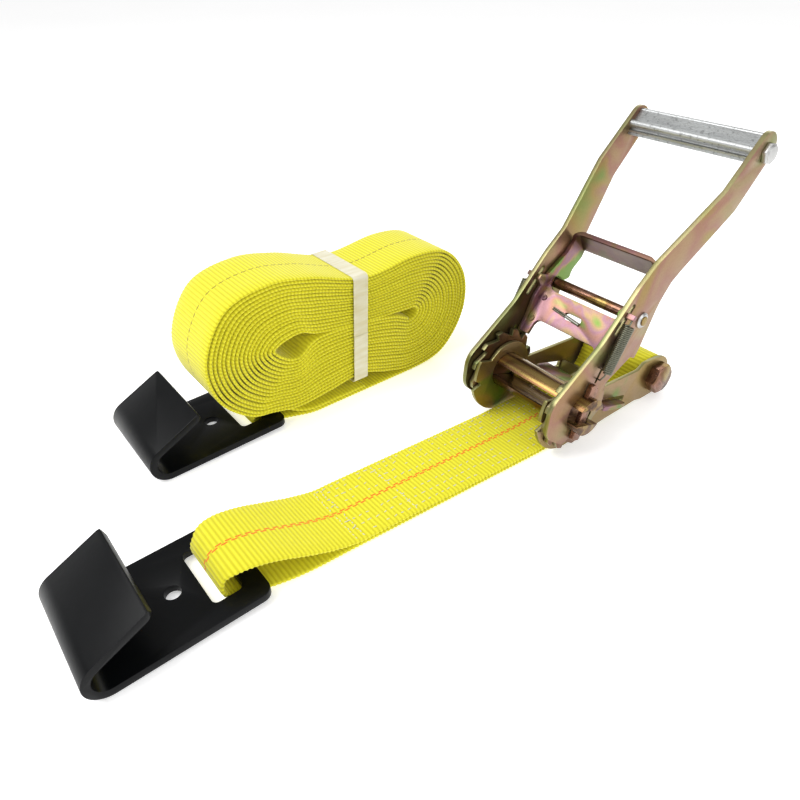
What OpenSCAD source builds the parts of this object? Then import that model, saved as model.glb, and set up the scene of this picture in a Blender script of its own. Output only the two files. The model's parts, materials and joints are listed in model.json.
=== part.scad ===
// Ratchet tie-down: wide-handle ratchet with a short fixed strap and flat hook,
// and a long strap with its own flat hook, wound up and banded beside it.
// Millimetres. +X runs from the hooks to the ratchet's rear bolt, +Z is up.

/* [Webbing] */
// Width of the webbing
web_w = 50; // [44:1:51]
// Thickness of one ply of webbing
web_t = 2.3; // [1.6:0.1:2.3]

/* [Ratchet frame] */
// Clear width between the frame plates
frame_gap = 53; // [52.5:0.1:53]
// Thickness of a frame plate
frame_t = 2.5; // [2:0.1:2.5]
// Radius of the frame's lower hub edge, which is the spindle's height
hub_r = 29.5; // [29:0.1:30]
// Distance from the spindle to the rear bolt
bolt_x = 91; // [90:0.5:92]

/* [Spindle] */
// Radius of the split spindle
spindle_r = 12; // [11.5:0.1:12]
// Width of the slot that takes the long strap
spindle_slot = 10; // [7:0.5:10]
// Tilt of the slot at rest
spindle_tilt = 19; // [0:1:30]
// Teeth on a ratchet wheel
teeth = 12; // [12:1:14]
// Tip radius of the teeth
tooth_tip_r = 27; // [26:0.1:27]
// Root radius of the teeth
tooth_root_r = 22.5; // [21:0.1:23]

/* [Handle] */
// Angle of the handle above the closed, flat position
handle_angle = 47.5; // [45:0.5:50]
// Thickness of a handle arm
arm_t = 3; // [2.5:0.1:3]
// Sideways step of each arm between the pull plate and the grip
flare = 8.9; // [5:0.1:10]

/* [Flat hooks] */
// Width of a hook plate
hook_w = 62.7; // [60:0.1:64]
// Thickness of a hook plate
hook_t = 4.4; // [4:0.1:4.4]
// Radius of the round hole in a hook plate
hook_hole_r = 4.3; // [3:0.1:5]
// Length of the webbing slot across a hook
hook_slot_l = 40; // [40:0.5:44]

/* [Placing] */
// Front hook: distance from the spindle back to its slot's front edge
front_hook_x = -230.6; // [-232:0.1:-230]
// Front hook: sideways place
front_hook_y = 12.4; // [10:0.1:14]
// Long strap's hook: distance from the spindle to its slot's front edge
long_hook_x = -154.3; // [-155:0.1:-154]
// Long strap's hook: sideways place
long_hook_y = 130.3; // [128:0.1:132]

/* [Hidden] */
$fn = 64;
eps = 0.01;
fit_gap = 0.05;          // running clearance on the radius of a shaft
steel = "#b39c66";
pink_steel = "#b98c7c";
bright = "#c8c8c6";
black_paint = "#1c1e20";
yellow = "#e3e02a";

// Side planes, measured outward from the middle plane
plate_in = frame_gap / 2;
plate_out = plate_in + frame_t;
wheel_in = plate_out + 0.6;
wheel_t = 3.2;
wheel_out = wheel_in + wheel_t;
arm_in = wheel_out + 0.8;
arm_out = arm_in + arm_t;
key_in = arm_out + 0.5;
key_t = 3;
spindle_end = 44;

// Ratchet frame
bolt_z = 14.5;
lobe_r = 14.5;
bolt_r = 6;
bolt_hex_r = 11;
bolt_head_h = 6.7;
sleeve_r = 9;
lobe_step_r = 27;        // frame edge that the pull plate's legs pass over
notch_r = 23;            // notch that holds the open handle
lock_tilt = 17;          // fall of the locking plate toward the rear
lock_drop = 1.9;         // its middle plane below the spindle's axis
lock_t = 3;
lock_nose = tooth_tip_r + 0.4;
lock_rear = 48.5;
lock_ear_y = 36.4;
lock_slot = [33, 60];
seat_s = 61.5;

// Handle: u runs from the spindle along the arm, v stands off it, forward and up
grip_u = 185.3;
grip_v = -5.2;
tip_r = 8.9;             // rounded end of an arm, about [tip_u, tip_v]
tip_u = 187.4;
tip_v = -3.6;
flare_from = 97;
flare_to = 150;
grip_in = arm_in + flare;
grip_out = grip_in + arm_t;
grip_head_h = 4;
grip_corner = [5.4, -5.6];  // centre of the grip's outermost corner, about its bolt
grip_corner_r = 2.98;
rod_u = 66.5;
rod_v = -2.8;
rod_r = 3.5;
rod_tenon_r = 3;

// Pull plate, in the handle's own u and v
pull_v = 1.4;
pull_t = 2.5;
pull_in = 30.6;
pull_out = pull_in + pull_t;
leg_tip_u = 27.3;
pull_top_u = 101.2;
web_low_u = 38.5;
web_top_u = 59.3;
ear_u = 62;
ear_v = 14.3;
hook_low_u = 22.8;
hook_low_v = 5.2;
spring_r = 3.5;
spring_y = arm_out + spring_r + 0.2;
spring_lean = atan2(ear_v - hook_low_v, ear_u - hook_low_u);
spring_len = norm([ear_u - hook_low_u, ear_v - hook_low_v]);

// Flat hooks, measured forward from the slot's front edge
hook_rear = -26.8;
hook_bar = -16;
hook_front = 64.7;
hook_bend_r = 12;
hook_lip_slope = 25;
hook_lip_len = 31.7;
hook_hole_u = 12.8;
hook_corner_r = 4;       // rounded corners of the lip
front_lift = 2.8;        // webbing under the rear bar lifts it
long_lift = 2.5;

// Wound strap
coil_y0 = 101;
coil_w = web_w;

// Middle of the whole object's box
x_low = front_hook_x - hook_front;
x_high = (grip_u + grip_corner[0]) * cos(handle_angle)
  - (grip_v + grip_corner[1]) * sin(handle_angle) + grip_corner_r;
y_low = -(grip_out + grip_head_h);
y_high = long_hook_y + hook_w / 2;
mid = [(x_low + x_high) / 2, (y_low + y_high) / 2, 0];

// ---------- shared geometry ----------

function unit(v) = v / norm(v);
function polar(r, a) = [r * cos(a), r * sin(a)];
function arc(c, r, a0, a1, n = 16) =
  [for (i = [0:n]) c + polar(r, a0 + (a1 - a0) * i / n)];
function turn(a) = a > 180 ? a - 360 : (a < -180 ? a + 360 : a);

// One corner of an outline, rounded to radius q[2]
function corner(p, q, s, n) =
  let (
    c = [q[0], q[1]],
    a = unit([p[0], p[1]] - c),
    b = unit([s[0], s[1]] - c),
    half = acos(a * b) / 2,
    centre = c + unit(a + b) * q[2] / sin(half),
    p0 = c + a * q[2] / tan(half) - centre,
    p1 = c + b * q[2] / tan(half) - centre,
    a0 = atan2(p0[1], p0[0]),
    sweep = turn(atan2(p1[1], p1[0]) - a0)
  )
  q[2] == 0 ? [c] : [for (i = [0:n]) centre + polar(q[2], a0 + sweep * i / n)];

// Outline from [x, y, corner radius] entries
function rounded(pts, n = 6) =
  [for (i = [0:len(pts) - 1])
    each corner(pts[(i + len(pts) - 1) % len(pts)], pts[i], pts[(i + 1) % len(pts)], n)];

// Smooth curve through points of any size
function spline_at(a, b, c, d, t) =
  0.5 * (2 * b + (c - a) * t + (2 * a - 5 * b + 4 * c - d) * t * t
    + (3 * b - a - 3 * c + d) * t * t * t);
function closed_spline(p, n) =
  [for (i = [0:len(p) - 1], j = [0:n - 1])
    spline_at(p[(i + len(p) - 1) % len(p)], p[i], p[(i + 1) % len(p)],
      p[(i + 2) % len(p)], j / n)];

module in_row() { translate(-mid) children(); }

// Plate standing on edge: its outline in X and Z, its faces at y0 and y0 + t
module standing(y0, t) {
  translate([0, y0 + t, 0]) rotate([90, 0, 0]) linear_extrude(t) children();
}

// The same on the left (side = 1) or the right (side = -1)
module side_plate(side, y0, t) {
  standing(side > 0 ? y0 : -y0 - t, t) children();
}

module pin_y(r, y0, y1) {
  translate([0, y1, 0]) rotate([90, 0, 0]) cylinder(r = r, h = y1 - y0);
}

module at_spindle() { translate([0, 0, hub_r]) children(); }
module in_handle() { at_spindle() rotate([0, -handle_angle, 0]) children(); }
module in_lock() { at_spindle() rotate([0, lock_tilt, 0]) translate([0, 0, -lock_drop]) children(); }
module at_bolt() { translate([bolt_x, 0, bolt_z]) children(); }

// ---------- ratchet frame ----------

function frame_outline() = concat(
  arc([2, -0.5], 19.5, 5, 142),
  arc([0, 0], lobe_step_r, 148, 178, 8),
  [polar(notch_r, 184), polar(notch_r, 188)],
  arc([0, 0], hub_r, 190, 275, 20),
  [[40, 1.7 - hub_r], [72, 1.9 - hub_r], [79, -hub_r]],
  arc([bolt_x, bolt_z - hub_r], lobe_r, -90, 78),
  [[83, 0.8], [75, 1], [69, -2.3], [24, 1.2]]
);

module frame_plate(side) {
  color(steel) difference() {
    at_spindle() side_plate(side, plate_in, frame_t) polygon(frame_outline());
    at_spindle() pin_y(spindle_r + fit_gap, -40, 40);
    at_bolt() pin_y(bolt_r + fit_gap, -40, 40);
    in_lock() side_plate(side, plate_in - 1, frame_t + 2) polygon(rounded([
      [lock_slot[0], -1.9, 0.8], [lock_slot[1], -1.9, 0.8],
      [lock_slot[1], 2.7, 0.8], [lock_slot[0], 2.7, 0.8]], 3));
  }
}

module rear_bolt() {
  color(pink_steel) at_bolt() {
    pin_y(bolt_r, -plate_out - 1, plate_out + 10);
    difference() {
      translate([0, -plate_out, 0]) rotate([90, 0, 0])
        cylinder(r = bolt_hex_r, h = bolt_head_h, $fn = 6);
      translate([0, -plate_out - bolt_head_h + 1.2, 0]) rotate([90, 0, 0]) difference() {
        cylinder(r = bolt_hex_r + 2, h = 2);
        translate([0, 0, -eps]) cylinder(r1 = bolt_hex_r + 0.5, r2 = bolt_hex_r - 2.6, h = 2.1);
      }
    }
  }
}

module rear_nut() {
  color(steel) at_bolt() difference() {
    translate([0, plate_out + 8, 0]) rotate([90, 0, 0]) cylinder(r = bolt_hex_r, h = 8, $fn = 6);
    pin_y(bolt_r + fit_gap, 0, 50);
  }
}

module rear_sleeve() {
  color(bright) at_bolt() difference() {
    pin_y(sleeve_r, -plate_in, plate_in);
    pin_y(bolt_r + fit_gap, -40, 40);
  }
}

module lock_spring_seat() {
  color(steel) in_lock() {
    translate([seat_s, -plate_in, -4]) cube([3, frame_gap, 8]);
    translate([seat_s, 0, 0]) rotate([0, -90, 0]) cylinder(r = 1.7, h = 4);
  }
}

// ---------- locking plate ----------

module lock_plate() {
  half = [[33.5, 29.4, 0], [lock_nose, 29.4, 0.6], [lock_nose, lock_ear_y, 1.5],
    [53, lock_ear_y, 2], [49.5, 29.3, 1], [lock_rear, 29.2, 0]];
  other = [for (i = [5:-1:0]) [half[i][0], -half[i][1], half[i][2]]];
  color(steel) in_lock() translate([0, 0, -lock_t / 2]) linear_extrude(lock_t)
    polygon(rounded(concat(half, other), 4));
}

module lock_spring() {
  color(bright) in_lock() translate([lock_rear, 0, 0]) rotate([0, 90, 0]) difference() {
    cylinder(r = 3, h = seat_s - lock_rear);
    translate([0, 0, -1]) cylinder(r = 2.1, h = 20);
  }
}

// ---------- spindle ----------

module at_slot() { at_spindle() rotate([0, spindle_tilt, 0]) children(); }

module half_round(sign, gap = 0) {
  intersection() {
    pin_y(spindle_r + gap, -spindle_end, spindle_end);
    translate([-20, -50, sign > 0 ? spindle_slot / 2 - gap : -spindle_slot / 2 + gap - 20])
      cube([40, 100, 20]);
  }
}

module key_body(gap = 0) {
  for (side = [-1, 1])
    translate([-3.5 - gap, (side > 0 ? key_in : -key_in - key_t) - gap, -21])
      cube([7 + 2 * gap, key_t + 2 * gap, 42]);
}

module spindle_half(sign) {
  color(steel) at_slot() difference() {
    half_round(sign);
    key_body(0.05);
  }
}

function tooth(a) = concat(
  [polar(tooth_root_r, a)],
  arc([0, 0], tooth_tip_r, a + 1.5, a - 8, 2),
  [polar(tooth_root_r + 1.2, a - 20)]
);
function wheel_outline() = [for (i = [0:teeth - 1]) each tooth(101 - i * 360 / teeth)];

module ratchet_wheel(side) {
  color(steel) difference() {
    at_spindle() side_plate(side, wheel_in, wheel_t) polygon(wheel_outline());
    at_slot() for (sign = [-1, 1]) half_round(sign, fit_gap);
  }
}

module spindle_key(side) {
  color(pink_steel) at_slot() side_plate(side, key_in, key_t) {
    polygon(rounded([[-3.5, -17.5, 1.5], [3.5, -17.5, 1.5], [3.5, 17.5, 0], [-3.5, 17.5, 0]], 3));
    translate([-0.6, 17.3]) circle(r = 2.9);
  }
}

// ---------- handle ----------

function arm_outline() = rounded([
  [-7, 31.2, 14], [-24.4, 18.6, 13], [-22.8, -2, 4], [-16.5, -5, 2], [-16.5, -16.5, 14],
  [17.5, -17, 13], [21, -5.8, 5], [45.6, -16, 1.5], [46.6, -21, 0.8], [53.5, -19.8, 3],
  [82, -9.8, 40], [104, -8.6, 60], [150, -10.6, 60],
  [tip_u + tip_r, tip_v - tip_r, tip_r - 0.1], [tip_u + tip_r, tip_v + tip_r, tip_r - 0.1],
  [150, 10.2, 60], [98, 16, 40], [78, 19, 40], [40, 20.4, 40]]);

function bend_profile() = rounded([
  [-40, arm_in, 0], [flare_from, arm_in, 12], [flare_to, grip_in, 12], [210, grip_in, 0],
  [210, grip_out, 0], [flare_to - 0.8, grip_out, 15], [flare_from - 0.8, arm_out, 15],
  [-40, arm_out, 0]]);

// Round-ended cut through an arm, from [u, v] to [u, v]
module slit(from, to, half_w) {
  along = to - from;
  translate([from[0], 0, from[1]]) rotate([0, -atan2(along[1], along[0]), 0]) {
    translate([0, -50, -half_w]) cube([norm(along), 100, 2 * half_w]);
    pin_y(half_w, -50, 50);
    translate([norm(along), 0, 0]) pin_y(half_w, -50, 50);
  }
}

module handle_arm(side) {
  color(steel) in_handle() difference() {
    intersection() {
      side_plate(side, arm_in - 1, 14) polygon(arm_outline());
      translate([0, 0, -40]) linear_extrude(100)
        mirror([0, side > 0 ? 0 : 1]) polygon(bend_profile());
    }
    pin_y(spindle_r + fit_gap, -60, 60);
    translate([rod_u, 0, rod_v]) pin_y(rod_tenon_r + fit_gap, -60, 60);
    translate([grip_u, 0, grip_v]) pin_y(4 + fit_gap, -60, 60);
    slit([hook_low_u - 2.5, hook_low_v - 0.6], [hook_low_u + 5, hook_low_v + 1.1], 1.1);
    slit([50, ear_v], [68.2, ear_v], 1.8);
  }
}

// Grip: an extruded bar, its section in u and v about the grip bolt
rib = 1.1;
function ribs(u0, u1, v, depth) =
  [for (i = [0:round(abs(u1 - u0) / rib) - 1])
    let (u = u0 + sign(u1 - u0) * i * rib)
    each [[u, v], [u + sign(u1 - u0) * rib / 2, v - depth]]];
function grip_section() = concat(
  ribs(-11.4, -9.2, 6.4, 0.35),
  arc([-7.4, 8.2], 1.7, 215, 320, 6),
  arc([-4.6, 8.6], 2.5, 200, 20, 12),
  ribs(-1.4, 6.1, 8.2, 0.35),
  arc([5.4, 5.2], 3, 70, 0, 5),
  arc(grip_corner, grip_corner_r, 0, -90, 5),
  ribs(4.4, -2.2, -8.58, -0.3),
  arc([-2.85, -6.2], 2.4, -90, -155, 5)
);

module grip() {
  color(bright) in_handle() difference() {
    translate([grip_u, 0, grip_v]) standing(-grip_in, 2 * grip_in) polygon(grip_section());
    translate([grip_u, 0, grip_v]) pin_y(4 + fit_gap, -60, 60);
  }
}

module grip_bolt() {
  color(bright) in_handle() translate([grip_u, 0, grip_v]) {
    pin_y(4, -grip_out - 1, grip_out + 2.5);
    translate([0, -grip_out, 0]) rotate([90, 0, 0]) {
      cylinder(r = 6.6, h = grip_head_h - 1.2, $fn = 6);
      cylinder(r1 = 5.7, r2 = 4.9, h = grip_head_h);
    }
  }
}

module grip_nut() {
  color(bright) in_handle() translate([grip_u, grip_out, grip_v]) rotate([-90, 0, 0])
    difference() {
      cylinder(r = 6.6, h = 3.4, $fn = 6);
      translate([0, 0, -1]) cylinder(r = 4 + fit_gap, h = 10);
    }
}

module cross_rod() {
  color(pink_steel) in_handle() translate([rod_u, 0, rod_v]) {
    pin_y(rod_r, -arm_in, arm_in);
    pin_y(rod_tenon_r, -arm_out - 2.2, arm_out + 2.2);
  }
}

module rod_washers() {
  color(bright) in_handle() translate([rod_u, 0, rod_v]) for (side = [0, 1])
    mirror([0, side, 0]) translate([0, arm_out, 0]) rotate([-90, 0, 0]) difference() {
      union() {
        cylinder(r = 5, h = 0.7);
        translate([0, 0, 0.7]) cylinder(r1 = 5, r2 = 3.9, h = 0.9);
      }
      translate([0, 0, -1]) cylinder(r = rod_tenon_r + fit_gap, h = 5);
    }
}

// ---------- pull plate ----------

function pull_outline(in) = rounded([
  [leg_tip_u - in, -pull_out + in, 0], [pull_top_u - in, -pull_out + in, 9 - in],
  [pull_top_u - in, pull_out - in, 9 - in], [leg_tip_u - in, pull_out - in, 0]], 6);

// Side view of a flange: low beside the legs, and standing behind the cross rod to the finger bar
function flange_profile() = rounded([
  [leg_tip_u, pull_v, 0], [leg_tip_u, 3.9, 0], [36, 4.8, 12], [50, 9.6, 5], [67, 9.6, 8],
  [81, 5.6, 10], [90, 2.4, 5], [94.5, 4.6, 4], [97.5, 8.4, 3], [pull_top_u + 1, 8.4, 0],
  [pull_top_u + 1, -2, 0], [98.5, -8, 4], [92, -12.6, 5], [80, -10.4, 8], [75, -12.6, 2],
  [71.4, -9, 2], [70.6, pull_v, 3]], 4);

// Side view of the finger bar, a strip that slopes back and down
function bar_profile() = rounded([
  [98.4, 8.2, 1], [pull_top_u, 7.6, 1], [97.2, -10, 1], [94.6, -9.2, 1]], 4);

module pull_plate() {
  color(pink_steel) in_handle() {
    translate([0, 0, pull_v]) linear_extrude(pull_t) difference() {
      polygon(pull_outline(0));
      polygon(rounded([[10, -24.5, 0], [web_low_u, -24.5, 4], [web_low_u, 24.5, 4],
        [10, 24.5, 0]]));
      polygon(rounded([[web_top_u, -pull_in, 8], [110, -pull_in, 0], [110, pull_in, 0],
        [web_top_u, pull_in, 8]]));
      polygon(rounded([[46.1, -5.6, 2.29], [50.7, -5.6, 2.29], [50.7, 8, 2.29],
        [46.1, 8, 2.29]]));
    }
    intersection() {
      translate([0, 0, -20]) linear_extrude(40) difference() {
        polygon(pull_outline(0));
        polygon(pull_outline(pull_t));
      }
      standing(-40, 80) polygon(flange_profile());
    }
    intersection() {
      translate([0, 0, -20]) linear_extrude(40) polygon(pull_outline(0));
      standing(-40, 80) polygon(bar_profile());
    }
    for (side = [-1, 1]) pull_ear(side);
  }
}

module pull_ear(side) {
  side_plate(side, pull_in, pull_t) polygon(rounded([
    [ear_u - 4.5, 9, 0], [ear_u - 2, ear_v + 1.5, 1], [ear_u + 2, ear_v + 1.5, 1],
    [ear_u + 4.5, 9, 0]], 3));
  side_plate(side, pull_in, spring_y + 1.2 - pull_in) translate([ear_u - 1.5, ear_v - 1.4])
    square([3, 2.8]);
}

module pull_plate_rivets() {
  color(bright) in_handle() for (u = [37.5, 53], side = [-1, 1])
    translate([u, side * 27.6, pull_v + pull_t]) difference() {
      cylinder(r1 = 2.1, r2 = 1.7, h = 0.9);
      translate([0, 0, 0.4]) cylinder(r = 0.9, h = 1);
    }
}

// Double wire clipped across the slot in the pull plate
module pull_wire_clip() {
  color(bright) in_handle() translate([47.9, 6.2, pull_v + pull_t + 0.55])
    rotate([0, 0, -97]) for (v = [-0.6, 0.6]) translate([-11, v, 0])
      rotate([0, 90, 0]) cylinder(r = 0.5, h = 23, $fn = 24);
}

module pull_spring(side) {
  color("#38352e") in_handle() translate([hook_low_u, side * spring_y, hook_low_v])
    rotate([0, -spring_lean, 0]) {
      translate([5, 0, 0]) rotate([0, 90, 0]) cylinder(r = spring_r, h = spring_len - 10);
      translate([0.4, 0, 0]) rotate([0, 90, 0]) cylinder(r = 0.6, h = spring_len - 2.8);
    }
}

// ---------- webbing ----------

// Ribbon swept along stations of [x, z, middle y, width]; side lean follows the path
function open_spline(p, n) = concat(
  [for (i = [0:len(p) - 2], j = [0:n - 1])
    spline_at(p[max(i - 1, 0)], p[i], p[i + 1], p[min(i + 2, len(p) - 1)], j / n)],
  [p[len(p) - 1]]);
function ring(p, ahead, behind, t) =
  let (d = unit([ahead[0] - behind[0], ahead[1] - behind[1]]), nx = -d[1] * t / 2,
    nz = d[0] * t / 2, y0 = p[2] - p[3] / 2, y1 = p[2] + p[3] / 2)
  [[p[0] + nx, y0, p[1] + nz], [p[0] + nx, y1, p[1] + nz],
    [p[0] - nx, y1, p[1] - nz], [p[0] - nx, y0, p[1] - nz]];

module ribbon(path, closed = false) {
  n = len(path);
  rings = [for (i = [0:n - 1]) ring(path[i],
    closed ? path[(i + 1) % n] : path[min(i + 1, n - 1)],
    closed ? path[(i + n - 1) % n] : path[max(i - 1, 0)], web_t)];
  last = closed ? n - 1 : n - 2;
  sides = [for (i = [0:last], k = [0:3])
    [4 * i + k, 4 * i + (k + 1) % 4, 4 * ((i + 1) % n) + (k + 1) % 4, 4 * ((i + 1) % n) + k]];
  ends = closed ? [] : [[3, 2, 1, 0], [4 * n - 4, 4 * n - 3, 4 * n - 2, 4 * n - 1]];
  polyhedron([for (r = rings) each r], concat(sides, ends));
}

ply = web_t / 2;                 // middle of the ply on the floor
upper = web_t + 0.1 + ply;       // middle of the ply on top of it
wrap_r = 12.6;                   // middle of the ply around the rear bolt
narrow = hook_slot_l - 3;

// Sideways lean of the short strap between the ratchet and its hook
function lean(x) = front_hook_y * max(0, min(1, (x + 20) / (front_hook_x + 20)));
function flat_run(x0, x1, z, n) = [for (i = [0:n]) let (x = x0 + (x1 - x0) * i / n)
  [x, z, lean(x), web_w]];

function bolt_wrap() = [for (a = [-90:15:165])
  [bolt_x + wrap_r * cos(a), bolt_z + wrap_r * sin(a), 0, web_w]];

// Loop through the front hook: over the rear bar, down the slot, back under the bar
function hook_loop(x) = [
  [x + 80, upper, web_w], [x + 66, upper + 3, web_w], [x + 50, 12, 49],
  [x + 35, 17.6, 47], [x + 22, 20.4, 45], [x + 13, 19.6, 42], [x + 8, 15.6, narrow],
  [x + 6.2, 9.6, narrow], [x + 8.4, 4, narrow], [x + 13.5, ply + 0.2, narrow],
  [x + 20, ply, 39], [x + 32, ply, 46], [x + 50, ply, web_w], [x + 80, ply, web_w]];

module fixed_strap() {
  color(yellow) ribbon(concat(
    flat_run(-140, 70, ply, 14),
    bolt_wrap(),
    [[74.5, 8.5, 0, web_w], [70, 5, 0, web_w]],
    flat_run(62, -140, upper, 12),
    [for (p = open_spline(hook_loop(front_hook_x), 3)) [p[0], max(p[1], ply), lean(p[0]), p[2]]]
  ), closed = true);
}

// ---------- flat hooks ----------

// Side view: a plate, its front bend and its lip, u forward, z up from the plate's underside
function hook_side() =
  let (c = [hook_front - hook_bend_r, hook_bend_r],
    along = polar(hook_lip_len, 180 - hook_lip_slope))
  concat([[hook_rear, 0]], arc(c, hook_bend_r, 270, 270 + (180 - hook_lip_slope), 20),
    [c + polar(hook_bend_r, 270 + 180 - hook_lip_slope) + along,
     c + polar(hook_bend_r - hook_t, 270 + 180 - hook_lip_slope) + along],
    arc(c, hook_bend_r - hook_t, 270 + (180 - hook_lip_slope), 270, 20),
    [[hook_rear, hook_t]]);

function hook_plan() = rounded([
  [hook_rear, -hook_w / 2, 6], [90, -hook_w / 2, 0], [90, hook_w / 2, 0],
  [hook_rear, hook_w / 2, 6]]);

// What the lip's rounded corners leave out, seen from above
module lip_corners() {
  end = hook_front - hook_bend_r + (hook_bend_r - hook_t) * sin(hook_lip_slope)
    - hook_lip_len * cos(hook_lip_slope);
  difference() {
    translate([end - 5, -hook_w / 2 - 1]) square([5 + hook_corner_r, hook_w + 2]);
    polygon(rounded([[end, -hook_w / 2, hook_corner_r], [end + 30, -hook_w / 2, 0],
      [end + 30, hook_w / 2, 0], [end, hook_w / 2, hook_corner_r]]));
  }
}

// Hook at its place: x is the slot's front edge, lifted at the rear by the webbing
module flat_hook(x, y, lift) {
  tilt = asin(lift / (hook_front - hook_bend_r - (hook_rear + hook_bar) / 2));
  front = x - hook_front + hook_bend_r;
  color(black_paint) translate([front, y, hook_bend_r]) rotate([0, -tilt, 0])
    mirror([1, 0, 0]) translate([-(hook_front - hook_bend_r), 0, -hook_bend_r]) difference() {
      intersection() {
        standing(-hook_w / 2, hook_w) polygon(hook_side());
        translate([0, 0, -5]) linear_extrude(60) polygon(hook_plan());
      }
      translate([0, 0, -5]) linear_extrude(16) polygon(rounded([
        [hook_bar, -hook_slot_l / 2, 3], [0, -hook_slot_l / 2, 3],
        [0, hook_slot_l / 2, 3], [hook_bar, hook_slot_l / 2, 3]]));
      translate([hook_hole_u, 0, -5]) cylinder(r = hook_hole_r, h = 15);
      translate([0, 0, hook_t + 4]) linear_extrude(60) lip_corners();
    }
}

// ---------- long strap ----------

tail_end = -62;
function long_loop(x, y) = [
  [x + 52, upper, y, web_w], [x + 46, upper + 0.2, y, web_w], [x + 40, 4.3, y, 48],
  [x + 33, 6.4, y, 43], [x + 27.5, 8.3, y, 41], [x + 21, 8.7, y, 39], [x + 14, 8.6, y, narrow],
  [x + 9.4, 7.2, y, narrow], [x + 8.6, 4.4, y, narrow], [x + 12.5, ply + 0.1, y, narrow],
  [x + 20, ply, y, 39], [x + 32, ply, y, 46], [x + 48, ply, y, web_w]];

module long_strap_tail() {
  y = coil_y0 + coil_w / 2;
  hook_side_y = long_hook_y;
  toward_hook = function(p) max(0, min(1, (-104 - p[0]) / 20));
  shift = function(p) [p[0], max(p[1], ply), y + (hook_side_y - y) * toward_hook(p), p[3]];
  color(yellow) ribbon([for (p = concat(
    [[tail_end, upper, y, web_w], [-84, upper, y, web_w]],
    open_spline(long_loop(long_hook_x, hook_side_y), 3),
    [[-90, ply, y, web_w], [-70, ply, y, web_w], [-54, ply, y, web_w]])) shift(p)]);
}

// Outline of the wound strap: two lobes and a waist where the band pulls it in
coil_points = [
  [-20, 0.1], [10, 6], [30, 32], [31, 62], [14, 85], [-15, 91.2], [-58, 87.6], [-98, 100],
  [-128, 104.4], [-158, 96], [-175, 66], [-171, 36], [-153, 16.5], [-136, 11.9], [-116, 8],
  [-92, 9.4], [-66, 12.4], [-44, 5]];

// The outline, pushed out by d
function coil_outline(d) =
  let (p = [for (q = closed_spline(coil_points, 6)) [q[0], max(q[1], 0)]], n = len(p))
  [for (i = [0:n - 1]) let (along = unit(p[(i + 1) % n] - p[(i + n - 1) % n]))
    p[i] + d * [along[1], -along[0]]];

module long_strap_coil() {
  color(yellow) standing(coil_y0, coil_w) polygon(coil_outline(0));
}

// Band round the waist
band_x = [-68, -55];
band_t = 0.8;
band_gap = 0.15;
module coil_band() {
  color("#e8e2cc") difference() {
    intersection() {
      translate([band_x[0], coil_y0 - 2, -5]) cube([band_x[1] - band_x[0], coil_w + 4, 120]);
      standing(coil_y0 - band_t, coil_w + 2 * band_t) polygon(coil_outline(band_t));
    }
    standing(coil_y0 - band_gap, coil_w + 2 * band_gap) polygon(coil_outline(band_gap));
  }
}

// ---------- the assembly ----------

in_row() frame_plate(1);  // frame_plate_left
in_row() frame_plate(-1);  // frame_plate_right
in_row() rear_bolt();
in_row() rear_nut();
in_row() rear_sleeve();
in_row() lock_spring_seat();
in_row() lock_plate();
in_row() lock_spring();
in_row() spindle_half(1);  // spindle_half_upper
in_row() spindle_half(-1);  // spindle_half_lower
in_row() ratchet_wheel(1);  // ratchet_wheel_left
in_row() ratchet_wheel(-1);  // ratchet_wheel_right
in_row() spindle_key(1);  // spindle_key_left
in_row() spindle_key(-1);  // spindle_key_right
in_row() handle_arm(1);  // handle_arm_left
in_row() handle_arm(-1);  // handle_arm_right
in_row() grip();
in_row() grip_bolt();
in_row() grip_nut();
in_row() cross_rod();
in_row() rod_washers();
in_row() pull_plate();
in_row() pull_plate_rivets();
in_row() pull_wire_clip();
in_row() pull_spring(1);  // pull_spring_left
in_row() pull_spring(-1);  // pull_spring_right
in_row() fixed_strap();
in_row() flat_hook(front_hook_x, front_hook_y, front_lift);  // front_hook
in_row() flat_hook(long_hook_x, long_hook_y, long_lift);  // long_hook
in_row() long_strap_tail();
in_row() long_strap_coil();
in_row() coil_band();
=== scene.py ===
import json
import math
import random

import bmesh
import bpy
import numpy as np
from mathutils import Matrix, Vector

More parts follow.
